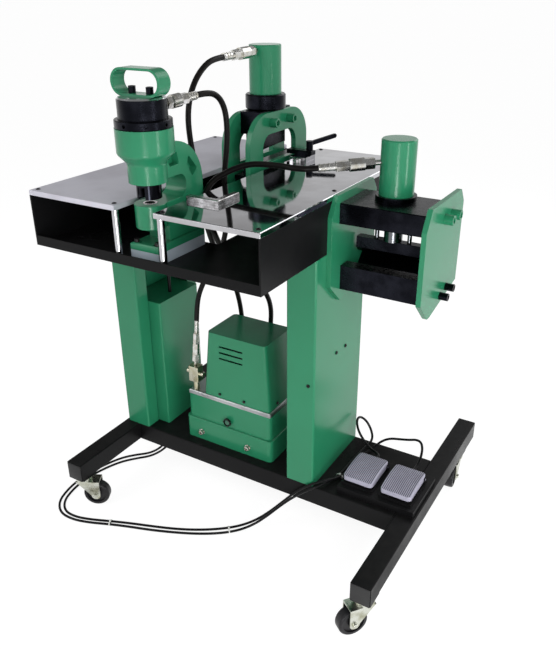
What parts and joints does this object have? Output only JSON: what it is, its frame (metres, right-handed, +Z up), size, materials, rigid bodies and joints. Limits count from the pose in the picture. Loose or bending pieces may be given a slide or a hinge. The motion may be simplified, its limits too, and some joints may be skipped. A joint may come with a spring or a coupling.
{
  "type": "busbar processing machine",
  "caption": "Wheeled hydraulic bench that punches, cuts and bends flat copper busbar, with a power pack below and foot switches at the side.",
  "frame": {"origin": "on the floor under the centre of the machine outline, cords left out", "axes": "+Z up, +X to the right of a person at the open front of the table, +Y to the back"},
  "size_m": [1.015, 0.8367, 1.2378],
  "materials": {
    "black_paint": "satin",
    "green_paint": "gloss",
    "black_steel": "satin",
    "matte_steel": "satin",
    "mirror_steel": "polished",
    "bright_steel": "polished",
    "zinc": "satin",
    "aluminium": "satin",
    "black_rubber": "matte",
    "grey_plastic": "satin",
    "hose_rubber": "satin",
    "cable_plastic": "satin"
  },
  "bodies": {
    "frame": {"angle_stop": "mirror_steel", "base_tray": "black_paint", "bender_cylinder": "green_paint", "bender_die": "black_steel", "bender_hose": "hose_rubber", "bender_inner_plate": "green_paint", "bender_outer_plate": "green_paint", "bender_top_beam": "black_steel", "black_bolts": "black_steel", "clamp_arm": "black_steel", "clamp_base": "mirror_steel", "control_box": "green_paint", "control_cable": "cable_plastic", "cutter_collar": "black_steel", "cutter_cylinder": "green_paint", "cutter_head_block": "black_steel", "cutter_hose": "hose_rubber", "cutter_left_plate": "green_paint", "cutter_lower_blade": "black_steel", "cutter_right_plate": "green_paint", "green_bolts": "green_paint", "hose_couplings": "zinc", "left_column": "green_paint", "left_leg": "black_paint", "left_pedal_cord": "cable_plastic", "left_top_plate": "matte_steel", "manifold": "zinc", "oil_tank": "green_paint", "pedal_plate": "black_paint", "pump_cover": "green_paint", "pump_motor": "black_steel", "pump_plate": "aluminium", "punch_cap": "black_steel", "punch_clamp_block": "green_paint", "punch_die": "bright_steel", "punch_frame": "green_paint", "punch_handle": "green_paint", "punch_hose": "hose_rubber", "punch_lock_ring": "black_steel", "punch_stripper": "black_steel", "right_column": "green_paint", "right_leg": "black_paint", "right_pedal_cord": "cable_plastic", "right_top_plate": "mirror_steel", "slot_posts": "mirror_steel", "table_box": "black_paint"},
    "caster_front_right": {"caster_fork_front_right": "zinc"},
    "wheel_front_right": {"caster_wheel_front_right": "black_rubber"},
    "caster_front_left": {"caster_fork_front_left": "zinc"},
    "wheel_front_left": {"caster_wheel_front_left": "black_rubber"},
    "caster_rear_right": {"caster_fork_rear_right": "zinc"},
    "wheel_rear_right": {"caster_wheel_rear_right": "black_rubber"},
    "caster_rear_left": {"caster_fork_rear_left": "zinc"},
    "wheel_rear_left": {"caster_wheel_rear_left": "black_rubber"},
    "punch_ram": {"punch_ram": "bright_steel"},
    "cutter_blade": {"cutter_blade": "black_steel"},
    "bender_ram": {"bender_ram": "black_steel"},
    "left_pedal": {"left_pedal": "grey_plastic"},
    "right_pedal": {"right_pedal": "grey_plastic"},
    "clamp_lever": {"clamp_lever": "black_steel"}
  },
  "joints": [
    {"name": "front_right_swivel", "type": "hinge", "parent": "frame", "child": "caster_front_right", "pos_m": [0.446, -0.34184, 0.09], "axis": [0, 0, 1], "continuous": true},
    {"name": "front_right_roll", "type": "hinge", "parent": "caster_front_right", "child": "wheel_front_right", "pos_m": [0.42554, -0.36899, 0.0375], "axis": [0.7986, -0.6018, 0], "continuous": true},
    {"name": "front_left_swivel", "type": "hinge", "parent": "frame", "child": "caster_front_left", "pos_m": [-0.446, -0.34184, 0.09], "axis": [0, 0, 1], "continuous": true},
    {"name": "front_left_roll", "type": "hinge", "parent": "caster_front_left", "child": "wheel_front_left", "pos_m": [-0.41598, -0.32588, 0.0375], "axis": [-0.4695, 0.8829, 0], "continuous": true},
    {"name": "rear_right_swivel", "type": "hinge", "parent": "frame", "child": "caster_rear_right", "pos_m": [0.446, 0.31016, 0.09], "axis": [0, 0, 1], "continuous": true},
    {"name": "rear_right_roll", "type": "hinge", "parent": "caster_rear_right", "child": "wheel_rear_right", "pos_m": [0.44955, 0.27635, 0.0375], "axis": [0.9945, 0.1045, 0], "continuous": true},
    {"name": "rear_left_swivel", "type": "hinge", "parent": "frame", "child": "caster_rear_left", "pos_m": [-0.446, 0.31016, 0.09], "axis": [0, 0, 1], "continuous": true},
    {"name": "rear_left_roll", "type": "hinge", "parent": "caster_rear_left", "child": "wheel_rear_left", "pos_m": [-0.41448, 0.3229, 0.0375], "axis": [-0.3746, 0.9272, 0], "continuous": true},
    {"name": "punch_stroke", "type": "slide", "parent": "frame", "child": "punch_ram", "axis": [0, 0, -1], "range_m": [0, 0.02], "stiffness_N_per_m": 2000, "springref_m": -0.02},
    {"name": "cutter_stroke", "type": "slide", "parent": "frame", "child": "cutter_blade", "axis": [0, 0, -1], "range_m": [0, 0.02], "stiffness_N_per_m": 5000, "springref_m": -0.025},
    {"name": "bender_stroke", "type": "slide", "parent": "frame", "child": "bender_ram", "axis": [0, 0, -1], "range_m": [0, 0.055], "stiffness_N_per_m": 2000, "springref_m": -0.05},
    {"name": "left_pedal_press", "type": "hinge", "parent": "frame", "child": "left_pedal", "pos_m": [0.299, 0.02116, 0.189], "axis": [1, 0, 0], "range_deg": [0, 3], "stiffness_Nm_per_rad": 20, "springref_deg": -2.86},
    {"name": "right_pedal_press", "type": "hinge", "parent": "frame", "child": "right_pedal", "pos_m": [0.406, 0.02116, 0.189], "axis": [1, 0, 0], "range_deg": [0, 3], "stiffness_Nm_per_rad": 20, "springref_deg": -2.86},
    {"name": "clamp_lever_swing", "type": "hinge", "parent": "frame", "child": "clamp_lever", "pos_m": [-0.04, 0.25616, 0.975], "axis": [0, 0, 1], "range_deg": [-150, 50]}
  ]
}
